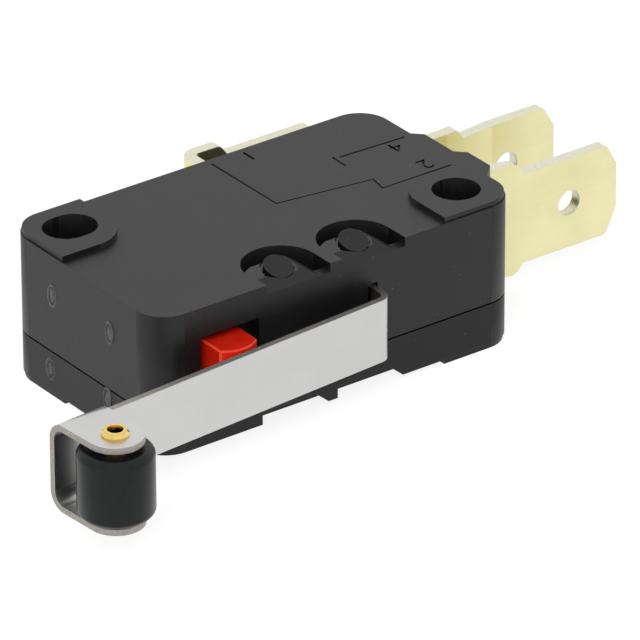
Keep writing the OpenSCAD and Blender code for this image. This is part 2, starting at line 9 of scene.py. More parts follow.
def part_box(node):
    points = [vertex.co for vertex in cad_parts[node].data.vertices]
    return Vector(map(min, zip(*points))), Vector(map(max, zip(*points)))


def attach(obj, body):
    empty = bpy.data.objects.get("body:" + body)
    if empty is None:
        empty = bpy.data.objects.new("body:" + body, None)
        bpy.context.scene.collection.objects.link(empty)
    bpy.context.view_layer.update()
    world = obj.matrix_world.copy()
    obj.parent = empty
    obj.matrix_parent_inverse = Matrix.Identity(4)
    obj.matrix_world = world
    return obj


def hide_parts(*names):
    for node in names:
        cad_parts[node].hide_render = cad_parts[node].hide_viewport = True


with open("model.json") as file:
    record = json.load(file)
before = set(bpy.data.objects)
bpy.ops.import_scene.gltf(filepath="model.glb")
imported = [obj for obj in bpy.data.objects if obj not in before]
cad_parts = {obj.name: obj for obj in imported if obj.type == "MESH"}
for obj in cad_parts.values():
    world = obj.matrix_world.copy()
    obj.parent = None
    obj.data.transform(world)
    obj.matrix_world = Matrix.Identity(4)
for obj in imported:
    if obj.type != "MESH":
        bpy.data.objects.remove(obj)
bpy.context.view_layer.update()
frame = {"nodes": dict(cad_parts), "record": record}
nodes = frame["nodes"]
scene = bpy.context.scene
mm = 0.001
mounts = {mount["name"]: Vector(mount["pos_m"]) for mount in frame["record"]["mounts"]}
caseCentre = (mounts["round_hole"] + mounts["slotted_hole"]) / 2
print("frame loaded, solids:", len(nodes))


def casePoint(x, y, z=0):
    # millimetres from the middle of the case, x along it, y across it
    return Vector((caseCentre.x + x * mm, caseCentre.y + y * mm, z * mm))


def hexColor(text):
    # an sRGB hex colour as linear light
    linear = []
    for i in (0, 2, 4):
        c = int(text[i:i + 2], 16) / 255
        linear.append(c / 12.92 if c <= 0.04045 else ((c + 0.055) / 1.055) ** 2.4)
    return (*linear, 1.0)


def addNode(tree, kind, settings={}, links={}):
    # settings are node attributes, socket names or numbers; "stops" are a ramp's places and colours
    node = tree.nodes.new(kind)
    for key, value in settings.items():
        if key == "stops":
            while len(node.color_ramp.elements) < len(value):
                node.color_ramp.elements.new(0.5)
            for element, (place, color) in zip(node.color_ramp.elements, value):
                element.position = place
                element.color = hexColor(color)
        elif isinstance(key, str) and hasattr(node, key):
            setattr(node, key, value)
        else:
            node.inputs[key].default_value = value
    for key, source in links.items():
        tree.links.new(source, node.inputs[key])
    return node


def perSize(sizeMm):
    # a noise scale from the size of its spots
    return 1 / (sizeMm * mm)


def newMaterial(name, build):
    # build gets the tree and the place on the object, and gives the shader
    material = bpy.data.materials.new(name)
    material.use_nodes = True
    tree = material.node_tree
    tree.nodes.clear()
    place = addNode(tree, "ShaderNodeTexCoord").outputs["Object"]
    shader = build(tree, place)
    addNode(tree, "ShaderNodeOutputMaterial", {}, {"Surface": shader.outputs[0]})
    return material


# tones are dark, light and dust; a lower gloss mirrors less of the room and looks blacker
caseLook = {
    # the cover's lower gloss is painted shade
    "tones": ("0a0a0b", "0f0f10", "5a5a59"), "gloss": 0.42, "coverShadeGloss": 0.32,
    # the edge tones and gloss are a painted highlight on the rounded edges
    "edgeHighlightTones": ("161617", "202021", "6c6c6a"), "edgeHighlightGloss": 0.6,
    # the engraved tones and gloss are painted shade in the grooves
    "engravedShadeTones": ("060606", "0b0b0b", "141414"), "engravedShadeGloss": 0.15,
    "brokenTones": ("363637", "565656", "707070"), "brokenGloss": 0.5,
    "smooth": 0.36, "rough": 0.48, "cloudMm": 2.5, "grainDepthMm": 0.02,
    "grainMm": 0.14,    # a real eroded grain of some 0.03 mm is too fine to show
    "speckMm": 0.16,    # real dust is finer too
}


def thermoset(tones, gloss):
    # glass-filled thermoset from a spark-eroded tool: near black itself, and the satin skin mirrors the
    # white room as an even dark grey, with a fine grain and a few pale dust specks
    def build(tree, place):
        grain = addNode(tree, "ShaderNodeTexNoise", {
            "Scale": perSize(caseLook["grainMm"]), "Detail": 3.0, "Roughness": 0.6}, {"Vector": place})
        cloud = addNode(tree, "ShaderNodeTexNoise", {
            "Scale": perSize(caseLook["cloudMm"]), "Detail": 5.0, "Roughness": 0.65}, {"Vector": place})
        tone = addNode(tree, "ShaderNodeValToRGB", {"stops": [(0.34, tones[0]), (0.66, tones[1])]},
            {"Fac": cloud.outputs["Fac"]})
        dust = addNode(tree, "ShaderNodeTexNoise", {
            "Scale": perSize(caseLook["speckMm"]), "Detail": 1.0}, {"Vector": place})
        dustMask = addNode(tree, "ShaderNodeMapRange", {"From Min": 0.78, "From Max": 0.82},
            {"Value": dust.outputs["Fac"]})
        color = addNode(tree, "ShaderNodeMix", {"data_type": "RGBA", 7: hexColor(tones[2])},
            {0: dustMask.outputs["Result"], 6: tone.outputs["Color"]})
        rough = addNode(tree, "ShaderNodeMapRange", {
            "To Min": caseLook["smooth"], "To Max": caseLook["rough"]}, {"Value": grain.outputs["Fac"]})
        bump = addNode(tree, "ShaderNodeBump", {
            "Strength": 0.5, "Distance": caseLook["grainDepthMm"] * mm}, {"Height": grain.outputs["Fac"]})
        return addNode(tree, "ShaderNodeBsdfPrincipled", {"IOR": 1.5, "Specular IOR Level": gloss}, {
            "Base Color": color.outputs[2], "Roughness": rough.outputs["Result"],
            "Normal": bump.outputs["Normal"]})
    return build


caseMaterial = newMaterial("mouldedThermoset", thermoset(caseLook["tones"], caseLook["gloss"]))
# the cover's copy has less gloss and looks darker: painted shade for the shadowed floor it mirrors near its
# foot
coverShadedMaterial = newMaterial("mouldedThermosetCoverPaintedShade", thermoset(caseLook["tones"], caseLook["coverShadeGloss"]))
# the same thermoset, paler and glossier on the rounded edges: a painted highlight along them
caseEdgeHighlightMaterial = newMaterial("thermosetEdgePaintedHighlight",
    thermoset(caseLook["edgeHighlightTones"], caseLook["edgeHighlightGloss"]))
# the same thermoset, darker and duller in the engraved lines: painted shade in the grooves
engravedShadeMaterial = newMaterial("engravedThermosetPaintedShade",
    thermoset(caseLook["engravedShadeTones"], caseLook["engravedShadeGloss"]))
# the same thermoset broken rough at the moulding marks: paler, because the rough skin scatters light
brokenMaterial = newMaterial("brokenThermoset",
    thermoset(caseLook["brokenTones"], caseLook["brokenGloss"]))


def cloudedSkin(tree, place, look, tones):
    # soft spots between two tones, and a slight unevenness with them, for a shader's colour and normal
    cloud = addNode(tree, "ShaderNodeTexNoise", {"Scale": perSize(look["spotMm"]), "Detail": 3.0},
        {"Vector": place})
    tone = addNode(tree, "ShaderNodeValToRGB", {"stops": [(0.3, tones[0]), (0.7, tones[1])]},
        {"Fac": cloud.outputs["Fac"]})
    bump = addNode(tree, "ShaderNodeBump", {"Strength": look["bump"], "Distance": look["bumpMm"] * mm},
        {"Height": cloud.outputs["Fac"]})
    return {"Base Color": tone.outputs["Color"], "Normal": bump.outputs["Normal"]}


plungerLook = {
    "tones": ("c81d0a", "d62410"), "roughness": 0.4,
    # the edge tones are a painted highlight on the moulded edges
    "edgeHighlightTones": ("de3c22", "f0583c"), "edgeRoughness": 0.3,
    "spotMm": 1.2, "bump": 0.15, "bumpMm": 0.02,
    "gloss": 0.35, "lightThrough": 0.12, "lightDepthMm": 0.4,
}


def dyedPolyester(tones, roughness):
    # dyed moulded polyester: strong red, faint flow clouds, lets a little light through
    def build(tree, place):
        return addNode(tree, "ShaderNodeBsdfPrincipled", {
            "Roughness": roughness, "IOR": 1.5, "Specular IOR Level": plungerLook["gloss"],
            "Subsurface Weight": plungerLook["lightThrough"],
            "Subsurface Scale": plungerLook["lightDepthMm"] * mm},
            cloudedSkin(tree, place, plungerLook, tones))
    return build


plungerMaterial = newMaterial("mouldedRedPolyester",
    dyedPolyester(plungerLook["tones"], plungerLook["roughness"]))
# the same polyester on the moulded edges, painted a paler red: a painted highlight where light gathers on
# them
plungerEdgeHighlightMaterial = newMaterial("redPolyesterEdgePaintedHighlight",
    dyedPolyester(plungerLook["edgeHighlightTones"], plungerLook["edgeRoughness"]))


# the patterns that both kinds of strip share
stripPattern = {
    "rollRunMm": 9.0, "cloudMm": 4.0,
    "rollLineMm": 0.12,    # real rolling lines lie closer than this, too fine to show
    "nickMm": 0.18,    # real punch marks are finer too
}
# face tones are low and high; cut tones are low, high and the bright nicks
leverLook = {
    "faceTones": ("cacac9", "cfcfce"), "faceSmooth": 0.26, "faceRough": 0.34,
    "cutTones": ("98938c", "aaa69f", "c8c4bc"), "cutRoughness": 0.45,
}
tabLook = {
    "faceTones": ("e2dcaa", "ece6b6"), "faceSmooth": 0.3, "faceRough": 0.4,
    "cutTones": ("dcdac4", "e6e4ce", "e8e8d8"), "cutRoughness": 0.4,
}


def rolledSheet(look):
    # rolled strip: flat satin metal with very faint rolling lines along it
    def build(tree, place):
        run = perSize(stripPattern["rollRunMm"])
        along = addNode(tree, "ShaderNodeMapping", {
            "Scale": (run, run, perSize(stripPattern["rollLineMm"]))}, {"Vector": place})
        lines = addNode(tree, "ShaderNodeTexNoise", {"Scale": 1.0, "Detail": 3.0},
            {"Vector": along.outputs["Vector"]})
        cloud = addNode(tree, "ShaderNodeTexNoise", {
            "Scale": perSize(stripPattern["cloudMm"]), "Detail": 3.0}, {"Vector": place})
        blend = addNode(tree, "ShaderNodeMix", {"data_type": "FLOAT", 0: 0.2},
            {2: cloud.outputs["Fac"], 3: lines.outputs["Fac"]})
        low, high = look["faceTones"]
        tone = addNode(tree, "ShaderNodeValToRGB", {"stops": [(0.35, low), (0.65, high)]},
            {"Fac": blend.outputs[0]})
        roughness = addNode(tree, "ShaderNodeMapRange", {
            "To Min": look["faceSmooth"], "To Max": look["faceRough"]}, {"Value": cloud.outputs["Fac"]})
        return addNode(tree, "ShaderNodeBsdfPrincipled", {"Metallic": 1.0},
            {"Base Color": tone.outputs["Color"], "Roughness": roughness.outputs["Result"]})
    return build


def shearedEdge(look):
    # sheared edge of a stamped strip: duller than the faces, with small bright nicks from the punch
    def build(tree, place):
        nick = addNode(tree, "ShaderNodeTexNoise", {
            "Scale": perSize(stripPattern["nickMm"]), "Detail": 2.0, "Roughness": 0.7}, {"Vector": place})
        low, high, bright = look["cutTones"]
        tone = addNode(tree, "ShaderNodeValToRGB", {"stops": [(0.35, low), (0.66, high), (0.8, bright)]},
            {"Fac": nick.outputs["Fac"]})
        bump = addNode(tree, "ShaderNodeBump", {"Strength": 0.4, "Distance": 0.02 * mm},
            {"Height": nick.outputs["Fac"]})
        return addNode(tree, "ShaderNodeBsdfPrincipled", {
            "Metallic": 1.0, "Roughness": look["cutRoughness"]},
            {"Base Color": tone.outputs["Color"], "Normal": bump.outputs["Normal"]})
    return build


# the lever's stainless strip: neutral pale grey, with browner grey where it was sheared
leverMaterial = newMaterial("rolledStainless", rolledSheet(leverLook))
leverCutMaterial = newMaterial("shearedStainless", shearedEdge(leverLook))
# the tabs' pale brass strip: light yellow, and nearly white where it was sheared
tabMaterial = newMaterial("rolledPaleBrass", rolledSheet(tabLook))
tabCutMaterial = newMaterial("shearedPaleBrass", shearedEdge(tabLook))


rivetLook = {"tones": ("e0b85e", "f4d98c"), "spotMm": 0.6, "bump": 0.1, "bumpMm": 0.01, "roughness": 0.2}
contactLook = {"tones": ("d8d8d4", "eeeeea"), "spotMm": 0.6, "bump": 0.1, "bumpMm": 0.01, "roughness": 0.2}
leafLook = {"tones": ("b98256", "cf9a6a"), "spotMm": 1.5, "bump": 0.1, "bumpMm": 0.01, "roughness": 0.3}


def spottedMetal(look):
    # bare metal whose colour shifts a little from place to place
    def build(tree, place):
        return addNode(tree, "ShaderNodeBsdfPrincipled", {"Metallic": 1.0, "Roughness": look["roughness"]},
            cloudedSkin(tree, place, look, look["tones"]))
    return build


# turned brass rivet, flared by a punch: warm gold with bright rims
rivetMaterial = newMaterial("turnedBrass", spottedMetal(rivetLook))
# polished silver faces of the contacts: pale and mirror-like
contactMaterial = newMaterial("polishedSilver", spottedMetal(contactLook))
# rolled spring bronze of the snap leaf: warm and even
leafMaterial = newMaterial("rolledSpringBronze", spottedMetal(leafLook))


rollerLook = {
    "tones": ("0a0c0c", "101313"), "spotMm": 0.4, "bump": 0.2, "bumpMm": 0.01,
    "roughness": 0.3, "gloss": 0.27,
}


def filledNylon(tree, place):
    # moulded filled nylon: blue-black and silky, with a broad soft highlight
    return addNode(tree, "ShaderNodeBsdfPrincipled", {
        "IOR": 1.5, "Roughness": rollerLook["roughness"], "Specular IOR Level": rollerLook["gloss"]},
        cloudedSkin(tree, place, rollerLook, rollerLook["tones"]))


rollerMaterial = newMaterial("mouldedFilledNylon", filledNylon)
print("finishes made:", len(bpy.data.materials))


# lengths in metres, angles in degrees
meshRules = {
    "mergeDistance": 0.5e-6, "flatAngle": 0.05, "bevelAngle": 32, "sharpAngle": 38,
    "squareOn": 0.9999, "flatSquareSide": 0.3 * mm, "flatSlantSide": 1.5 * mm,
}


def mergedCopy(nodeName, pieceName):
    # a CAD solid's mesh, joined up, as a new object
    mesh = nodes[nodeName].data.copy()
    bm = bmesh.new()
    bm.from_mesh(mesh)
    bmesh.ops.remove_doubles(bm, verts=bm.verts, dist=meshRules["mergeDistance"])
    bm.to_mesh(mesh)
    bm.free()
    if "custom_normal" in mesh.attributes:    # it would shade the rounded edges as the old sharp ones
        mesh.attributes.remove(mesh.attributes["custom_normal"])
    mesh.name = pieceName
    mesh.materials.clear()
    piece = bpy.data.objects.new(pieceName, mesh)
    scene.collection.objects.link(piece)
    return piece


def joinFlat(piece):
    # triangles in one plane become one face
    bm = bmesh.new()
    bm.from_mesh(piece.data)
    bmesh.ops.dissolve_limit(bm, angle_limit=math.radians(meshRules["flatAngle"]),
        verts=bm.verts, edges=bm.edges)
    bm.to_mesh(piece.data)
    bm.free()
    return piece


def bake(piece):
    # the piece with its modifiers as a plain mesh
    graph = bpy.context.evaluated_depsgraph_get()
    mesh = bpy.data.meshes.new_from_object(piece.evaluated_get(graph))
    piece.modifiers.clear()
    piece.data = mesh
    return piece


def markSheared(piece, sheetMm):
    # faces with more than the sheet's thickness behind them are sheared edges and take the second finish
    mesh = piece.data
    tree = BVHTree.FromPolygons([v.co for v in mesh.vertices], [tuple(p.vertices) for p in mesh.polygons])
    mesh.calc_loop_triangles()
    widest = {}    # each face is measured from the middle of its widest triangle
    for tri in mesh.loop_triangles:
        if tri.area > widest.get(tri.polygon_index, (0, None))[0]:
            widest[tri.polygon_index] = (tri.area, tri.center.copy())
    inside = 0.01 * mm    # a ray starts this far under the face
    thickest = sheetMm * mm * 1.2
    for poly in mesh.polygons:
        centre = widest.get(poly.index, (0, poly.center))[1]
        hit = tree.ray_cast(centre - poly.normal * inside, -poly.normal)
        depth = (hit[3] or 0) + inside
        poly.material_index = 0 if depth < thickest else 1


def softEdges(piece, widthMm, steps=2):
    # rounds the sharp edges; the round takes the piece's last finish
    bevel = piece.modifiers.new("edgeRound", "BEVEL")
    bevel.width = widthMm * mm
    bevel.segments = steps
    bevel.limit_method = "ANGLE"
    bevel.angle_limit = math.radians(meshRules["bevelAngle"])
    bevel.use_clamp_overlap = True
    bevel.material = len(piece.data.materials) - 1
    bake(piece)


def smoothFaces(piece):
    # wide faces are flat; the rest runs smoothly into its neighbours
    piece.data.set_sharp_from_angle(angle=math.radians(meshRules["sharpAngle"]))
    for poly in piece.data.polygons:
        squareOn = max(abs(c) for c in poly.normal) > meshRules["squareOn"]
        widest = meshRules["flatSquareSide"] if squareOn else meshRules["flatSlantSide"]
        poly.use_smooth = poly.area < widest ** 2


def giveFinishes(piece, *finishes):
    piece.data.materials.clear()
    for finish in finishes:
        piece.data.materials.append(finish)


def standFor(piece, nodeName, body):
    # the piece moves with the CAD node's body and shows in its place
    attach(piece, body)
    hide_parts(nodeName)


def newTree(name, inputs):
    # an empty Geometry Nodes tree with named inputs: {name: (socket type, value)}
    tree = bpy.data.node_groups.new(name, "GeometryNodeTree")
    tree.interface.new_socket("Geometry", in_out="INPUT", socket_type="NodeSocketGeometry")
    tree.interface.new_socket("Geometry", in_out="OUTPUT", socket_type="NodeSocketGeometry")
    for label, (kind, value) in inputs.items():
        socket = tree.interface.new_socket(label, in_out="INPUT", socket_type=kind)
        if value is not None:
            socket.default_value = value
    return tree


def runTree(name, mesh, tree, values):
    # a mesh with the tree applied, as a plain mesh object
    piece = bpy.data.objects.new(name, mesh)
    scene.collection.objects.link(piece)
    modifier = piece.modifiers.new("build", "NODES")
    modifier.node_group = tree
    ids = {item.name: item.identifier for item in tree.interface.items_tree
        if item.item_type == "SOCKET" and item.in_out == "INPUT"}
    for label, value in values.items():
        modifier[ids[label]] = value
    return bake(piece)


def joinMeshes(name, meshes):
    bm = bmesh.new()
    for mesh in meshes:
        bm.from_mesh(mesh)
    joined = bpy.data.meshes.new(name)
    bm.to_mesh(joined)
    bm.free()
    return joined


def cutAway(piece, cutterMesh, finish):
    # takes the cutter's space out of the piece; the new faces take the cutter's finish
    cutterMesh.materials.clear()
    cutterMesh.materials.append(finish)
    for poly in cutterMesh.polygons:
        poly.material_index = 0
    cutter = bpy.data.objects.new("cutter", cutterMesh)
    scene.collection.objects.link(cutter)
    cut = piece.modifiers.new("cut", "BOOLEAN")
    cut.operation = "DIFFERENCE"
    cut.solver = "EXACT"
    cut.use_self = True
    cut.material_mode = "TRANSFER"
    cut.object = cutter
    before = len(piece.data.polygons)
    bake(piece)
    bpy.data.objects.remove(cutter)
    bm = bmesh.new()
    bm.from_mesh(piece.data)
    bmesh.ops.remove_doubles(bm, verts=bm.verts, dist=meshRules["mergeDistance"])
    bmesh.ops.dissolve_degenerate(bm, edges=bm.edges, dist=meshRules["mergeDistance"])
    oddEdges = sum(1 for edge in bm.edges if not edge.is_manifold)
    bm.to_mesh(piece.data)
    bm.free()
    print("cut:", before, "to", len(piece.data.polygons), "faces, edges not between two faces:", oddEdges)


latchPocket = {
    "postX": -3.5, "postY": -6.33, "pitchMm": 5.76, "lowMm": 8.7, "highMm": 10.6,
    "corner": [(-1.5, -0.55), (-1.3, -0.75), (-0.73, -0.95), (-0.11, -1.12), (0.38, -1.02), (0.5, -0.6),
        (-0.3, 0.3), (-0.9, 0.2)],
}


def pocketCutter(shift):
    # the deeper, wider corner of the hole in front of a latch post
    bm = bmesh.new()
    postX = latchPocket["postX"] + shift
    low, high = ([bm.verts.new(casePoint(postX + x, latchPocket["postY"] + y, z))
        for x, y in latchPocket["corner"]] for z in (latchPocket["lowMm"], latchPocket["highMm"]))
    bm.faces.new(low)
    bm.faces.new(high)
    for i in range(len(low)):
        j = (i + 1) % len(low)
        bm.faces.new((low[i], low[j], high[j], high[i]))
    bmesh.ops.recalc_face_normals(bm, faces=bm.faces)
    mesh = bpy.data.meshes.new("latchPocket")
    bm.to_mesh(mesh)
    bm.free()
    return mesh


engraving = {
    "lineMm": 0.21, "depthMm": 0.085, "numberMm": 1.75, "numberDepthMm": 0.09,
    "cutterMm": 0.2,    # half the height of the bar that cuts a number
    "lines": [
        [(1.33, 7.4), (1.36, 0.54), (8.18, -0.42), (7.92, -1.75), (13.28, -1.77)],
        [(8.32, 3.3), (13.28, 3.1)],
        [(7.95, 3.55), (7.9, 2.1)],
    ],
    "numbers": {"1": (3.85, 6.95), "4": (11.97, 2.3), "2": (12.05, -0.65)},
}


def grooveTree():
    # a path becomes a four-sided bar that cuts a V-shaped line
    tree = newTree("engravedLine", {
        "Width": ("NodeSocketFloat", engraving["lineMm"] * mm), "Finish": ("NodeSocketMaterial", None)})
    start = addNode(tree, "NodeGroupInput")
    path = addNode(tree, "GeometryNodeMeshToCurve", {}, {"Mesh": start.outputs["Geometry"]})
    half = addNode(tree, "ShaderNodeMath", {"operation": "MULTIPLY", 1: 0.5}, {0: start.outputs["Width"]})
    profile = addNode(tree, "GeometryNodeCurvePrimitiveCircle", {"Resolution": 4},
        {"Radius": half.outputs[0]})
    bar = addNode(tree, "GeometryNodeCurveToMesh", {"Fill Caps": True},
        {"Curve": path.outputs["Curve"], "Profile Curve": profile.outputs["Curve"]})
    real = addNode(tree, "GeometryNodeRealizeInstances", {}, {"Geometry": bar.outputs["Mesh"]})
    finish = addNode(tree, "GeometryNodeSetMaterial", {},
        {"Geometry": real.outputs["Geometry"], "Material": start.outputs["Finish"]})
    addNode(tree, "NodeGroupOutput", {}, {"Geometry": finish.outputs["Geometry"]})
    return tree


def pathMesh(name, paths):
    # open lines of points, for a tree to follow
    points = []
    edges = []
    for path in paths:
        edges += [(len(points) + i, len(points) + i + 1) for i in range(len(path) - 1)]
        points += path
    mesh = bpy.data.meshes.new(name)
    mesh.from_pydata(points, edges, [])
    return mesh


def numberCutter(text, x, y, surfaceZ):
    # a plain number that reads from the COM side, as a bar through the top surface
    curve = bpy.data.curves.new("number" + text, "FONT")
    curve.body = text
    curve.size = engraving["numberMm"] * mm
    curve.align_x = "CENTER"
    curve.align_y = "CENTER"
    curve.extrude = engraving["cutterMm"] * mm
    number = bpy.data.objects.new("number" + text, curve)
    scene.collection.objects.link(number)
    bpy.context.view_layer.update()
    graph = bpy.context.evaluated_depsgraph_get()
    mesh = bpy.data.meshes.new_from_object(number.evaluated_get(graph))
    bpy.data.objects.remove(number)
    lift = surfaceZ / mm + engraving["cutterMm"] - engraving["numberDepthMm"]
    mesh.transform(Matrix.Translation(casePoint(x, y, lift)) @ Matrix.Rotation(math.pi, 4, "Z"))
    bm = bmesh.new()
    bm.from_mesh(mesh)
    bmesh.ops.remove_doubles(bm, verts=bm.verts, dist=0.001 * mm)
    bmesh.ops.recalc_face_normals(bm, faces=bm.faces)
    bm.to_mesh(mesh)
    bm.free()
    return mesh


def engravingCutter(surfaceZ):
    # the circuit's lines and the tabs' numbers as one mesh
    height = surfaceZ / mm + (engraving["lineMm"] / 2 - engraving["depthMm"])
    paths = [[casePoint(x, y, height) for x, y in line] for line in engraving["lines"]]
    lines = runTree("circuitLines", pathMesh("circuitPath", paths), grooveTree(),
        {"Width": engraving["lineMm"] * mm, "Finish": engravedShadeMaterial})
    numbers = [numberCutter(text, x, y, surfaceZ) for text, (x, y) in engraving["numbers"].items()]
    cutter = joinMeshes("engraving", [lines.data] + numbers)
    bpy.data.objects.remove(lines)
    return cutter


caseShape = {"edgeMm": 0.1, "jointGapMm": 0.13, "jointZMm": 3.2, "padRiseMm": 0.35}


def openJoint(piece, direction):
    # the two halves meet with a thin dark line round the case
    nearJoint = 0.002 * mm
    for vertex in piece.data.vertices:
        if abs(vertex.co.z - caseShape["jointZMm"] * mm) < nearJoint:
            vertex.co.z += direction * caseShape["jointGapMm"] / 2 * mm


def makeHousing():
    housing = mergedCopy("housing", "housingShell")
    openJoint(housing, 1)
    pockets = [pocketCutter(shift) for shift in (0, latchPocket["pitchMm"])]
    cutAway(housing, joinMeshes("pockets", pockets), caseMaterial)
    joinFlat(housing)
    giveFinishes(housing, caseMaterial, caseEdgeHighlightMaterial)
    for poly in housing.data.polygons:
        poly.material_index = 0
    softEdges(housing, caseShape["edgeMm"])
    # the cover's latch posts end level with the hole pads, which stand proud of the top surface
    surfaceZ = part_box("cover")[1][2] - caseShape["padRiseMm"] * mm
    cutAway(housing, engravingCutter(surfaceZ), engravedShadeMaterial)
    smoothFaces(housing)
    standFor(housing, "housing", "case")


def makeCover():
    cover = mergedCopy("cover", "coverShell")
    openJoint(cover, -1)
    joinFlat(cover)
    giveFinishes(cover, coverShadedMaterial, caseEdgeHighlightMaterial)
    softEdges(cover, caseShape["edgeMm"])
    smoothFaces(cover)
    standFor(cover, "cover", "case")


makeHousing()
makeCover()
print("case halves made")


def roundCorners(piece, sheetMm, radiusMm):
    # the corners of a stamped outline are rounded: edges as long as the sheet is thick, lying across it
    leastTurn = math.radians(25)
    thicknessSlack = 0.02 * mm
    slantSlack = 0.01 * mm
    bm = bmesh.new()
    bm.from_mesh(piece.data)
    corners = []
    for edge in bm.edges:
        across = abs((edge.verts[1].co - edge.verts[0].co).y)
        asThick = abs(across - sheetMm * mm) < thicknessSlack
        if asThick and abs(edge.calc_length() - across) < slantSlack:
            if edge.is_manifold and edge.calc_face_angle(0) > leastTurn and edge.is_convex:
                corners.append(edge)
    bmesh.ops.bevel(bm, geom=corners, offset=radiusMm * mm, offset_type="WIDTH", segments=4, profile=0.5,
        affect="EDGES", clamp_overlap=True)
    bm.to_mesh(piece.data)
    bm.free()
    print("rounded corners:", len(corners))


def makeMouldedPiece(nodeName, pieceName, shape, finishes, body):
    piece = joinFlat(mergedCopy(nodeName, pieceName))
    giveFinishes(piece, *finishes)
    softEdges(piece, shape["edgeMm"], shape["edgeSteps"])
    smoothFaces(piece)
    standFor(piece, nodeName, body)


def makeSheetPiece(nodeName, pieceName, shape, finishes, body):
    piece = joinFlat(mergedCopy(nodeName, pieceName))
    if "cornerMm" in shape:
        roundCorners(piece, shape["sheetMm"], shape["cornerMm"])
    giveFinishes(piece, *finishes)
    markSheared(piece, shape["sheetMm"])
    softEdges(piece, shape["edgeMm"])
    smoothFaces(piece)
    standFor(piece, nodeName, body)


plungerShape = {"edgeMm": 0.1, "edgeSteps": 2}
leverShape = {"sheetMm": 0.42, "edgeMm": 0.05}
rollerShape = {"edgeMm": 0.16, "edgeSteps": 3}
rivetShape = {"edgeMm": 0.05, "edgeSteps": 2}
tabShape = {"sheetMm": 0.8, "edgeMm": 0.06, "cornerMm": 0.5}
makeMouldedPiece("plunger", "pushPiece", plungerShape, (plungerMaterial, plungerEdgeHighlightMaterial),
    "push_piece")
makeSheetPiece("lever", "leverArm", leverShape, (leverMaterial, leverCutMaterial),
    "lever_arm")
makeMouldedPiece("roller", "rollerWheel", rollerShape, (rollerMaterial,), "roller_body")
makeMouldedPiece("roller_rivet", "rollerRivet", rivetShape, (rivetMaterial,), "lever_arm")
for terminal, tab in {"com_terminal": "comTab", "no_terminal": "noTab", "nc_terminal": "ncTab"}.items():
    makeSheetPiece(terminal, tab, tabShape, (tabMaterial, tabCutMaterial), "case")
for contact in ("nc_contact", "no_contact", "moving_contact"):
    giveFinishes(nodes[contact], contactMaterial)
giveFinishes(nodes["snap_blade"], leafMaterial)
print("moving parts, tabs and contacts made")


# places are y from the middle of the case and z, on its left end
mouldMarks = {
    "widthMm": 0.8, "heightMm": 1.45, "rimMm": 0.2, "proudMm": 0.05,
    "places": [(3.15, 7.16), (-2.95, 7.18), (3.47, 1.92), (-2.61, 2.44)],
    "middleShare": 0.9, "middleStretch": (3.2, 1.7, 0.45),    # the rough middle, in rim widths
    "tiltRange": 0.12, "seed": 4,    # how far a mark turns to either side, in radians
    "unevenSpotMm": 0.25, "unevenMm": 0.14,
}


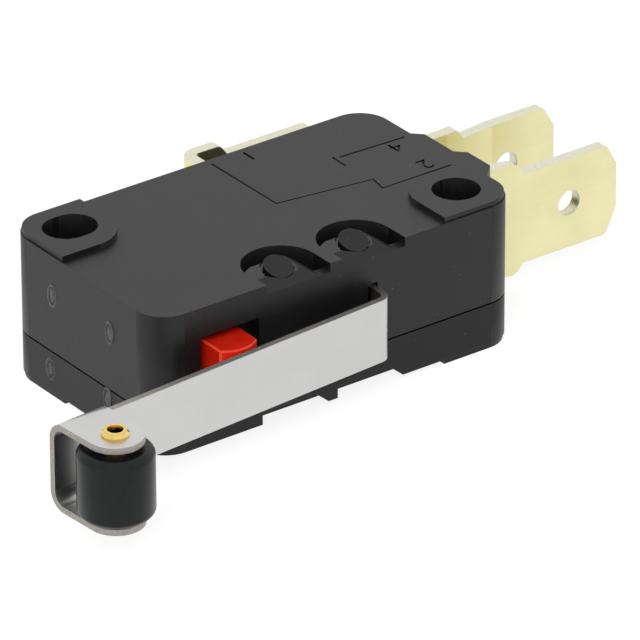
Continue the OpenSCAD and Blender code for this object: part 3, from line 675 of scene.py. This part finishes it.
def markTree():
    # small oval moulding marks: a rim with a rough middle, set at each given point
    tree = newTree("ovalMarks", {
        "Width": ("NodeSocketFloat", mouldMarks["widthMm"] * mm),
        "Height": ("NodeSocketFloat", mouldMarks["heightMm"] * mm),
        "Rim": ("NodeSocketFloat", mouldMarks["rimMm"] * mm),
        "Seed": ("NodeSocketInt", mouldMarks["seed"]), "Finish": ("NodeSocketMaterial", None)})
    start = addNode(tree, "NodeGroupInput")
    points = addNode(tree, "GeometryNodeMeshToPoints", {}, {"Mesh": start.outputs["Geometry"]})
    circle = addNode(tree, "GeometryNodeCurvePrimitiveCircle", {"Resolution": 28, "Radius": 0.5})
    size = addNode(tree, "ShaderNodeCombineXYZ", {"Z": 1.0},
        {"X": start.outputs["Height"], "Y": start.outputs["Width"]})
    oval = addNode(tree, "GeometryNodeTransform", {}, {
        "Geometry": circle.outputs["Curve"], "Scale": size.outputs["Vector"]})
    half = addNode(tree, "ShaderNodeMath", {"operation": "MULTIPLY", 1: 0.5}, {0: start.outputs["Rim"]})
    profile = addNode(tree, "GeometryNodeCurvePrimitiveCircle", {"Resolution": 8},
        {"Radius": half.outputs[0]})
    rim = addNode(tree, "GeometryNodeCurveToMesh", {},
        {"Curve": oval.outputs["Geometry"], "Profile Curve": profile.outputs["Curve"]})
    pitSize = addNode(tree, "ShaderNodeMath", {"operation": "MULTIPLY", 1: mouldMarks["middleShare"]},
        {0: start.outputs["Rim"]})
    middle = addNode(tree, "GeometryNodeMeshIcoSphere", {"Subdivisions": 3}, {"Radius": pitSize.outputs[0]})
    middleShape = addNode(tree, "GeometryNodeTransform", {"Scale": mouldMarks["middleStretch"]},
        {"Geometry": middle.outputs["Mesh"]})
    both = addNode(tree, "GeometryNodeJoinGeometry")
    tree.links.new(rim.outputs["Mesh"], both.inputs[0])
    tree.links.new(middleShape.outputs["Geometry"], both.inputs[0])
    tilt = mouldMarks["tiltRange"]
    spin = addNode(tree, "FunctionNodeRandomValue", {"data_type": "FLOAT", 2: -tilt, 3: tilt},
        {"Seed": start.outputs["Seed"]})
    turn = addNode(tree, "ShaderNodeCombineXYZ", {"X": 0.0, "Y": math.pi / 2}, {"Z": spin.outputs[1]})
    placed = addNode(tree, "GeometryNodeInstanceOnPoints", {}, {
        "Points": points.outputs["Points"], "Instance": both.outputs["Geometry"],
        "Rotation": turn.outputs["Vector"]})
    real = addNode(tree, "GeometryNodeRealizeInstances", {}, {"Geometry": placed.outputs["Instances"]})
    shake = addNode(tree, "ShaderNodeTexNoise", {
        "Scale": perSize(mouldMarks["unevenSpotMm"]), "Detail": 2.0})
    centred = addNode(tree, "ShaderNodeVectorMath", {"operation": "SUBTRACT", 1: (0.5, 0.5, 0.5)},
        {0: shake.outputs["Color"]})
    amount = addNode(tree, "ShaderNodeVectorMath", {
        "operation": "SCALE", "Scale": mouldMarks["unevenMm"] * mm}, {0: centred.outputs["Vector"]})
    uneven = addNode(tree, "GeometryNodeSetPosition", {},
        {"Geometry": real.outputs["Geometry"], "Offset": amount.outputs["Vector"]})
    finish = addNode(tree, "GeometryNodeSetMaterial", {},
        {"Geometry": uneven.outputs["Geometry"], "Material": start.outputs["Finish"]})
    addNode(tree, "NodeGroupOutput", {}, {"Geometry": finish.outputs["Geometry"]})
    return tree


def makeMouldMarks():
    endX = (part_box("housing")[0][0] - caseCentre.x) / mm
    markX = endX + mouldMarks["rimMm"] / 2 - mouldMarks["proudMm"]
    mesh = bpy.data.meshes.new("markPoints")
    mesh.from_pydata([casePoint(markX, y, z) for y, z in mouldMarks["places"]], [], [])
    marks = runTree("mouldMarks", mesh, markTree(), {
        "Width": mouldMarks["widthMm"] * mm, "Height": mouldMarks["heightMm"] * mm,
        "Rim": mouldMarks["rimMm"] * mm, "Seed": mouldMarks["seed"], "Finish": brokenMaterial})
    smoothFaces(marks)
    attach(marks, "case")


makeMouldMarks()
print("moulding marks made")


# a lamp's three values are its place from the aim in metres, its size in metres and its power in watts
studio = {
    "floorSide": 1.5, "floorWhite": 0.85, "floorTone": 0.22, "fibreShade": 0.98, "fibreMm": 1.5,
    "bounceTone": 0.3, "skyLight": 0.35, "aimMm": 5,
    "lamps": {
        "keySoftbox": ((-0.26, -0.32, 0.34), 0.3, 2.2),
        "topSoftbox": ((0.05, 0.2, 0.46), 0.25, 0.5),
    },
}


def shownRays(tree):
    # 1 for a ray that shows the room, straight or through gloss or glass, and 0 for one that only lights
    light = addNode(tree, "ShaderNodeLightPath")
    shown = light.outputs["Is Camera Ray"]
    for ray in ("Is Glossy Ray", "Is Transmission Ray"):
        either = addNode(tree, "ShaderNodeMath", {"operation": "MAXIMUM"}, {0: shown, 1: light.outputs[ray]})
        shown = either.outputs[0]
    return shown


def palePaper(tree, place):
    # white paper with faint fibres: near white to the eye and in reflections, and it keeps a soft shadow
    fibre = addNode(tree, "ShaderNodeTexNoise", {
        "Scale": perSize(studio["fibreMm"]), "Detail": 3.0}, {"Vector": place})
    tone = addNode(tree, "ShaderNodeMapRange", {
        "To Min": studio["floorTone"] * studio["fibreShade"], "To Max": studio["floorTone"]},
        {"Value": fibre.outputs["Fac"]})
    shade = addNode(tree, "ShaderNodeBsdfDiffuse", {}, {"Color": tone.outputs["Result"]})
    glow = addNode(tree, "ShaderNodeEmission", {"Strength": studio["floorWhite"]})
    white = addNode(tree, "ShaderNodeAddShader", {}, {0: shade.outputs[0], 1: glow.outputs[0]})
    bounceTone = studio["bounceTone"]
    bounce = addNode(tree, "ShaderNodeBsdfDiffuse", {"Color": (bounceTone, bounceTone, bounceTone, 1)})
    return addNode(tree, "ShaderNodeMixShader", {},
        {0: shownRays(tree), 1: bounce.outputs[0], 2: white.outputs[0]})


def makeFloor():
    side = studio["floorSide"]
    mesh = bpy.data.meshes.new("studioFloor")
    mesh.from_pydata([(-side, -side, 0), (side, -side, 0), (side, side, 0), (-side, side, 0)],
        [], [(0, 1, 2, 3)])
    floor = bpy.data.objects.new("studioFloor", mesh)
    scene.collection.objects.link(floor)
    mesh.materials.append(newMaterial("palePaper", palePaper))


def makeWorld():
    # a white room that lights the object only softly
    world = bpy.data.worlds.new("whiteRoom")
    scene.world = world
    world.use_nodes = True
    tree = world.node_tree
    tree.nodes.clear()
    strength = addNode(tree, "ShaderNodeMapRange", {"To Min": studio["skyLight"], "To Max": 1.0},
        {"Value": shownRays(tree)})
    back = addNode(tree, "ShaderNodeBackground", {"Color": (1, 1, 1, 1)},
        {"Strength": strength.outputs["Result"]})
    addNode(tree, "ShaderNodeOutputWorld", {}, {"Surface": back.outputs[0]})


def makeLamps():
    aim = casePoint(0, 0, studio["aimMm"])
    for name, (place, size, power) in studio["lamps"].items():
        data = bpy.data.lights.new(name, "AREA")
        data.shape = "DISK"
        data.size = size
        data.energy = power
        lamp = bpy.data.objects.new(name, data)
        scene.collection.objects.link(lamp)
        lamp.location = aim + Vector(place)
        lamp.rotation_euler = Vector(place).to_track_quat("Z", "Y").to_euler()
        lamp.visible_glossy = False    # gloss shows the white room, which is bright all round


# angles in degrees
viewpoint = {
    "azimuth": -36.418, "elevation": 27.987, "roll": -0.214, "lensMm": 454.47, "sensorMm": 36.0,
    "placeMm": (-273.362, -356.175, 239.633),
}


def makeCamera():
    data = bpy.data.cameras.new("viewCamera")
    data.lens = viewpoint["lensMm"]
    data.sensor_width = viewpoint["sensorMm"]
    camera = bpy.data.objects.new("viewCamera", data)
    scene.collection.objects.link(camera)
    azimuth, elevation, roll = (math.radians(viewpoint[key]) for key in ("azimuth", "elevation", "roll"))
    back = Vector((math.sin(azimuth) * math.cos(elevation), -math.cos(azimuth) * math.cos(elevation),
        math.sin(elevation)))
    right = Vector((math.cos(azimuth), math.sin(azimuth), 0))
    up = back.cross(right)
    rolledRight = math.cos(roll) * right + math.sin(roll) * up
    rolledUp = -math.sin(roll) * right + math.cos(roll) * up
    rows = Matrix((rolledRight, rolledUp, back)).transposed().to_4x4()
    camera.matrix_world = Matrix.Translation(Vector(viewpoint["placeMm"]) * mm) @ rows
    scene.camera = camera


makeFloor()
makeWorld()
makeLamps()
makeCamera()
scene.view_settings.view_transform = "Standard"
print("floor, light and camera set")
